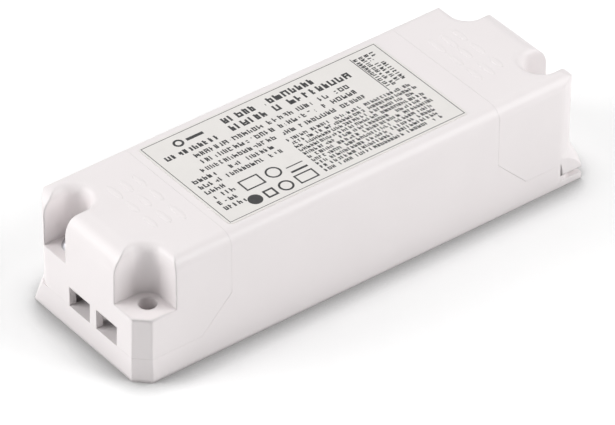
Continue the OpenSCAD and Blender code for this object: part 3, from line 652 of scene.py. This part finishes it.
class DRIVER_OT_label(bpy.types.Operator):
    """Gives the label its film and sets its generic print: frame, rows of strokes and plain shapes."""

    bl_idname = "led_driver.label"
    bl_label = "Label"

    blocks = (
        PrintBlock(x=20.6, y=29.0, rows=1, pitch=3.0, width=25.5, height=2.1, stroke=0.52, turn=0),
        PrintBlock(x=20.4, y=25.9, rows=1, pitch=3.0, width=33.0, height=2.1, stroke=0.52, turn=0),
        PrintBlock(x=2.6, y=25.6, rows=1, pitch=2.0, width=15.0, height=1.6, stroke=0.46, turn=0),
        PrintBlock(x=8.4, y=23.0, rows=2, pitch=2.5, width=45.5, height=1.5, stroke=0.33, turn=0),
        PrintBlock(x=5.2, y=18.0, rows=1, pitch=2.5, width=46.0, height=1.4, stroke=0.31, turn=0),
        PrintBlock(x=2.4, y=15.6, rows=6, pitch=2.25, width=6.4, height=1.4, stroke=0.34, turn=0),
        PrintBlock(x=9.8, y=15.6, rows=2, pitch=2.25, width=15.5, height=1.35, stroke=0.31, turn=0),
        PrintBlock(x=27.6, y=15.6, rows=10, pitch=1.48, width=35.2, height=1.06, stroke=0.27, turn=0),
        PrintBlock(x=61.4, y=30.6, rows=4, pitch=1.5, width=13.4, height=1.1, stroke=0.28, turn=-90),
    )
    # Least and greatest width of a character and the gap after it, as shares of its height
    narrow, wide, gap = 0.5, 0.85, 0.22
    # Width, as a share of the height, that fills a row with characters, and how many are spare
    usual, spare = 0.6, 4
    # Share of the characters left out as word gaps, and share of a row that its ragged end may lack
    word_gaps, ragged = 0.1, 0.08
    # Seed of the first block, and the step to the next one's
    first_seed, seed_step = 17, 10

    # Plain shapes among the rows, in millimetres
    shapes = (
        drawn_circle(x=8.4, y=29.6, radius=1.3, line=0.55),
        filled_box(x=10.5, y=29.1, width=4.5, height=0.9),
        drawn_box(x=10.0, y=7.0, width=5.2, height=3.8, line=0.4),
        drawn_circle(x=18.4, y=8.9, radius=1.9, line=0.45),
        filled_circle(x=9.6, y=3.7, radius=1.7),
        drawn_box(x=12.2, y=2.2, width=2.8, height=2.8, line=0.5),
        drawn_circle(x=17.8, y=3.6, radius=1.8, line=0.5),
        drawn_box(x=20.8, y=2.0, width=5.0, height=3.2, line=0.4),
        filled_box(x=21.4, y=6.2, width=4.4, height=0.6),
        filled_box(x=21.4, y=8.2, width=4.4, height=0.3),
        filled_box(x=56.5, y=17.0, width=0.2, height=14.2),
    )

    def print_rows(self, tree, ink, rise):
        """Meshes of all the blocks of print."""
        meshes = []
        for number, block in enumerate(self.blocks):
            height = block.height
            meshes.append(run_tree(tree, "label_rows_%d" % number, {
                "Rows": block.rows, "Characters": int(block.width / (self.usual * height)) + self.spare,
                "Pitch": block.pitch * MM, "Height": height * MM,
                "Narrow": height * self.narrow * MM, "Wide": height * self.wide * MM,
                "Stroke": block.stroke * MM, "Gap": height * self.gap * MM,
                "Word gaps": self.word_gaps, "Width": block.width * MM,
                "Ragged": self.ragged if block.rows > 1 else 0.0, "Rise": rise,
                "Seed": self.first_seed + self.seed_step * number,
                "Place": on_label(block.x, block.y), "Turn": math.radians(block.turn), "Ink": ink}))
        return meshes

    def print_shapes(self, rise, line, inset):
        """Meshes of the printed frame and the plain shapes."""
        length, width = ((LABEL_HIGH - LABEL_LOW) / MM).to_2d()
        border = drawn_box(inset, inset, length - 2 * inset, width - 2 * inset, line)
        return [flat_shape(outlines, rise) for outlines in (border, *self.shapes)]

    def execute(self, context):
        sizes = context.scene.driver_label
        film = finish_material("label_film", sizes.film, roughness=0.5, mottle=0.015, patch=5 * MM,
                               grain=0.12 * MM, depth=0.002 * MM)
        ink = finish_material("label_ink", sizes.ink, roughness=0.55, mottle=0.2, patch=1.2 * MM,
                              grain=0.1 * MM, depth=0.001 * MM)
        dress("rating_label", film)
        rise = sizes.ink_height
        meshes = self.print_rows(greeked_tree(), ink, rise)
        meshes += self.print_shapes(rise, sizes.frame_line / MM, sizes.frame_inset / MM)
        show("label_print", joined("label_print", meshes), ink)
        return {"FINISHED"}


def bars_tree():
    """Tree that sets rows of low rounded bars of uneven length."""
    make = TreeMaker("Raised bars")
    for name, kind in (("Rows", "Int"), ("Bars", "Int"), ("Row pitch", "Float"), ("Bar pitch", "Float"),
                       ("Shortest", "Float"), ("Longest", "Float"), ("Breadth", "Float"), ("Rise", "Float"),
                       ("Seed", "Int"), ("Place", "Vector"), ("Turn", "Float"), ("Plastic", "Material")):
        make.ask(name, kind)
    ask = make.entry.outputs
    points = make.add("GeometryNodePoints")
    make.join(make.maths("MULTIPLY", ask["Rows"], ask["Bars"]), points.inputs["Count"])
    index = make.add("GeometryNodeInputIndex").outputs["Index"]
    row = make.maths("FLOOR", make.maths("DIVIDE", index, ask["Bars"]), 0.0)
    column = make.maths("SUBTRACT", index, make.maths("MULTIPLY", row, ask["Bars"]))
    length = make.random(ask["Shortest"], ask["Longest"], index, ask["Seed"])
    place = make.add("ShaderNodeCombineXYZ")
    start = make.maths("MULTIPLY", column, ask["Bar pitch"])
    make.join(make.maths("ADD", start, make.maths("MULTIPLY", length, 0.5)), place.inputs["X"])
    make.join(make.maths("MULTIPLY", row, ask["Row pitch"]), place.inputs["Y"])
    put = make.add("GeometryNodeSetPosition")
    make.join(points.outputs[0], put.inputs["Geometry"])
    make.join(place.outputs[0], put.inputs["Position"])
    size = make.add("ShaderNodeCombineXYZ")
    thick = make.maths("MULTIPLY", ask["Rise"], 2.0)
    for value, socket in zip((length, ask["Breadth"], thick), size.inputs):
        make.join(value, socket)
    ridge = make.add("GeometryNodeMeshUVSphere")
    ridge.inputs["Segments"].default_value = BAR_SEGMENTS
    ridge.inputs["Rings"].default_value = BAR_RINGS
    # One unit across, so that its scale is its size
    ridge.inputs["Radius"].default_value = 0.5
    copies = make.add("GeometryNodeInstanceOnPoints")
    make.join(put.outputs[0], copies.inputs["Points"])
    make.join(ridge.outputs["Mesh"], copies.inputs["Instance"])
    make.join(size.outputs[0], copies.inputs["Scale"])
    make.finish(copies.outputs[0], "Plastic")
    return make.tree


class DRIVER_OT_marks(bpy.types.Operator):
    """Sets rows of low raised bars on the top of each cover."""

    bl_idname = "led_driver.marks"
    bl_label = "Cover marks"

    # Which end of the case each cover is on, and the seed of its bars
    sides = (-1, 1)
    seeds = (31, 49)

    def execute(self, context):
        sizes = context.scene.driver_marks
        plastic = finish_material("mark_plastic", context.scene.driver_moulding.colour, **PLASTIC_FINISH)
        tree = bars_tree()
        reach = sizes.bars * sizes.bar_pitch
        depth = (sizes.rows - 1) * sizes.row_pitch
        for node, side, seed in zip(COVERS, self.sides, self.seeds):
            first_x = side * (CASE_END - sizes.from_end) - depth / 2
            mesh = run_tree(tree, node + "_marks", {
                "Rows": sizes.rows, "Bars": sizes.bars, "Row pitch": sizes.row_pitch,
                "Bar pitch": sizes.bar_pitch, "Shortest": sizes.shortest, "Longest": sizes.longest,
                "Breadth": sizes.breadth, "Rise": sizes.rise, "Seed": seed, "Turn": -math.pi / 2,
                "Place": (first_x, reach / 2, LABEL_LOW.z), "Plastic": plastic})
            for polygon in mesh.polygons:
                polygon.use_smooth = True
            show(node + "_marks", mesh, plastic)
        return {"FINISHED"}


class DRIVER_OT_fittings(bpy.types.Operator):
    """Gives the screws, the terminals and the parts on the board their materials."""

    bl_idname = "led_driver.fittings"
    bl_label = "Fittings"

    finishes = {
        "zinc_steel": {"colour": (0.42, 0.42, 0.44), "roughness": 0.42, "metallic": 1.0, "mottle": 0.08,
                       "patch": 1.5 * MM, "grain": 0.12 * MM},
        "board_laminate": {"colour": (0.02, 0.11, 0.035), "roughness": 0.35, "coat": 0.3, "mottle": 0.12,
                           "patch": 3 * MM},
        "terminal_plastic": {"colour": (0.1, 0.21, 0.12), "roughness": 0.45, "mottle": 0.05},
        "black_plastic": {"colour": (0.012, 0.012, 0.014), "roughness": 0.5, "mottle": 0.15, "patch": 2 * MM},
        "fuse_pot": {"colour": (0.075, 0.035, 0.018), "roughness": 0.4, "mottle": 0.08, "patch": 2 * MM},
        "blue_coating": {"colour": (0.025, 0.08, 0.34), "roughness": 0.25, "coat": 0.4, "mottle": 0.1,
                         "patch": 2 * MM, "grain": 0.6 * MM, "depth": 0.02 * MM},
        "yellow_plastic": {"colour": (0.68, 0.52, 0.035), "roughness": 0.45, "mottle": 0.05},
        "ferrite": {"colour": (0.018, 0.018, 0.02), "roughness": 0.6, "mottle": 0.25, "patch": 1 * MM,
                    "grain": 0.2 * MM, "depth": 0.01 * MM},
        "copper_wire": {"colour": (0.48, 0.15, 0.035), "roughness": 0.3, "metallic": 0.9, "mottle": 0.15,
                        "patch": 0.8 * MM},
        "can_sleeve": {"colour": (0.02, 0.024, 0.04), "roughness": 0.3, "coat": 0.3, "mottle": 0.1},
        "yellow_tape": {"colour": (0.68, 0.45, 0.02), "roughness": 0.3, "coat": 0.2, "mottle": 0.08,
                        "patch": 2 * MM},
        "sink_metal": {"colour": (0.6, 0.61, 0.63), "roughness": 0.4, "metallic": 1.0, "mottle": 0.06,
                       "patch": 2 * MM},
    }

    def execute(self, context):
        materials = {slot: finish_material(slot, **finish) for slot, finish in self.finishes.items()}
        for part in frame["record"]["subparts"]:
            if part["material_slot"] in materials:
                dress(part["node"], materials[part["material_slot"]])
        return {"FINISHED"}


def seen_directly(tree):
    """Whether a ray shows a surface to the camera, straight or by way of gloss or glass, as one or nought."""
    path = tree.nodes.new("ShaderNodeLightPath")
    seen = path.outputs["Is Camera Ray"]
    for ray in ("Is Glossy Ray", "Is Transmission Ray"):
        either = tree.nodes.new("ShaderNodeMath")
        either.operation = "MAXIMUM"
        tree.links.new(seen, either.inputs[0])
        tree.links.new(path.outputs[ray], either.inputs[1])
        seen = either.outputs[0]
    return seen


class DRIVER_OT_stage(bpy.types.Operator):
    """Sets the floor, the even light, the soft lights and the camera."""

    bl_idname = "led_driver.stage"
    bl_label = "Stage"

    def floor(self, sizes):
        """Pale floor that stays white away from the case's shadow, which is partly cast by the lamps and
        partly painted: near the case its colour is darkened and its lift is taken away.
        """
        half = sizes.floor_size / 2
        mesh = bpy.data.meshes.new("floor")
        corners = [(-half, -half, 0), (half, -half, 0), (half, half, 0), (-half, half, 0)]
        mesh.from_pydata(corners, [], [range(len(corners))])
        material = bpy.data.materials.new("studio_floor")
        material.use_nodes = True
        tree = material.node_tree
        tree.nodes.clear()
        # Painted shadow: where ambient occlusion finds the case within reach, the floor's colour is darkened
        # towards the dark colour beside the case
        nearby = tree.nodes.new("ShaderNodeAmbientOcclusion")
        nearby.samples = FLOOR_RAYS
        nearby.inputs["Distance"].default_value = sizes.painted_shadow_reach
        open_floor = tree.nodes.new("ShaderNodeMapRange")
        open_floor.interpolation_type = "SMOOTHSTEP"
        open_floor.inputs["From Min"].default_value = PAINTED_SHADOW_START
        tree.links.new(nearby.outputs["AO"], open_floor.inputs["Value"])
        clear = open_floor.outputs["Result"]
        matt = tree.nodes.new("ShaderNodeBsdfDiffuse")
        shade = blend_colours(tree, clear, sizes.painted_shadow_colour, sizes.floor_colour)
        tree.links.new(shade, matt.inputs["Color"])
        glow = tree.nodes.new("ShaderNodeEmission")
        # The lift seen by the camera fades out in the painted shadow too, so the floor there stays dark
        lift = tree.nodes.new("ShaderNodeMath")
        lift.operation = "MULTIPLY"
        lift.inputs[1].default_value = sizes.floor_lift
        tree.links.new(clear, lift.inputs[0])
        seen = tree.nodes.new("ShaderNodeMath")
        seen.operation = "MULTIPLY"
        tree.links.new(seen_directly(tree), seen.inputs[0])
        tree.links.new(lift.outputs[0], seen.inputs[1])
        tree.links.new(seen.outputs[0], glow.inputs["Strength"])
        both = tree.nodes.new("ShaderNodeAddShader")
        tree.links.new(matt.outputs[0], both.inputs[0])
        tree.links.new(glow.outputs[0], both.inputs[1])
        output = tree.nodes.new("ShaderNodeOutputMaterial")
        tree.links.new(both.outputs[0], output.inputs["Surface"])
        mesh.materials.append(material)
        floor = bpy.data.objects.new("floor", mesh)
        bpy.context.scene.collection.objects.link(floor)

    def world(self, scene, sizes):
        """Even white light, seen as plain white by the camera and in reflections."""
        world = bpy.data.worlds.new("studio")
        world.use_nodes = True
        tree = world.node_tree
        tree.nodes.clear()
        strength = tree.nodes.new("ShaderNodeMix")
        share, lighting, showing = (strength.inputs[number] for number in (0, 2, 3))
        lighting.default_value = sizes.ambient
        showing.default_value = 1.0
        tree.links.new(seen_directly(tree), share)
        light = tree.nodes.new("ShaderNodeBackground")
        tree.links.new(strength.outputs[0], light.inputs["Strength"])
        output = tree.nodes.new("ShaderNodeOutputWorld")
        tree.links.new(light.outputs[0], output.inputs["Surface"])
        scene.world = world

    def softbox(self, name, place, size, power):
        """Square area light that points at the case."""
        data = bpy.data.lights.new(name, "AREA")
        data.size = size
        data.energy = power
        lamp = bpy.data.objects.new(name, data)
        lamp.matrix_world = look_at(Vector(place), LIGHT_AIM, 0.0)
        bpy.context.scene.collection.objects.link(lamp)

    def execute(self, context):
        scene = context.scene
        sizes = scene.driver_stage
        scene.view_settings.view_transform = "Standard"
        self.floor(sizes)
        self.world(scene, sizes)
        self.softbox("left_softbox", sizes.left_place, sizes.side_size, sizes.left_power)
        self.softbox("right_softbox", sizes.right_place, sizes.side_size, sizes.right_power)
        self.softbox("top_softbox", sizes.top_place, sizes.top_size, sizes.top_power)
        data = bpy.data.cameras.new("camera")
        data.sensor_fit = "HORIZONTAL"
        data.lens = sizes.lens
        camera = bpy.data.objects.new("camera", data)
        camera.matrix_world = look_at(Vector(sizes.camera_place), Vector(sizes.camera_aim), sizes.camera_roll)
        scene.collection.objects.link(camera)
        scene.camera = camera
        return {"FINISHED"}


def look_at(place, aim, roll):
    """Matrix of a camera or lamp at a place, looking at a point."""
    turn = (aim - place).to_track_quat("-Z", "Y").to_matrix().to_4x4()
    return Matrix.Translation(place) @ turn @ Matrix.Rotation(roll, 4, "Z")


class DRIVER_PT_panel(bpy.types.Panel):
    """Lists the steps that finish the driver."""

    bl_idname = "DRIVER_PT_panel"
    bl_label = "LED Driver"
    bl_space_type = "VIEW_3D"
    bl_region_type = "UI"
    bl_category = "LED Driver"

    def draw(self, context):
        for step in STEPS:
            self.layout.operator(step.bl_idname)


SETTINGS = {
    "driver_moulding": MouldingSettings,
    "driver_label": LabelSettings,
    "driver_marks": MarkSettings,
    "driver_stage": StageSettings,
}
STEPS = (DRIVER_OT_stage, DRIVER_OT_mouldings, DRIVER_OT_marks, DRIVER_OT_label, DRIVER_OT_fittings)
CLASSES = (*SETTINGS.values(), *STEPS, DRIVER_PT_panel)


def register():
    """Makes the settings, the steps and the panel known to Blender."""
    for cls in CLASSES:
        bpy.utils.register_class(cls)
    for name, group in SETTINGS.items():
        setattr(bpy.types.Scene, name, PointerProperty(type=group))


def unregister():
    """Takes them out again."""
    for name in SETTINGS:
        delattr(bpy.types.Scene, name)
    for cls in reversed(CLASSES):
        bpy.utils.unregister_class(cls)


def main():
    """Runs the steps in order."""
    register()
    bpy.ops.led_driver.stage()
    bpy.ops.led_driver.mouldings()
    bpy.ops.led_driver.marks()
    bpy.ops.led_driver.label()
    bpy.ops.led_driver.fittings()


if __name__ == "__main__":
    main()
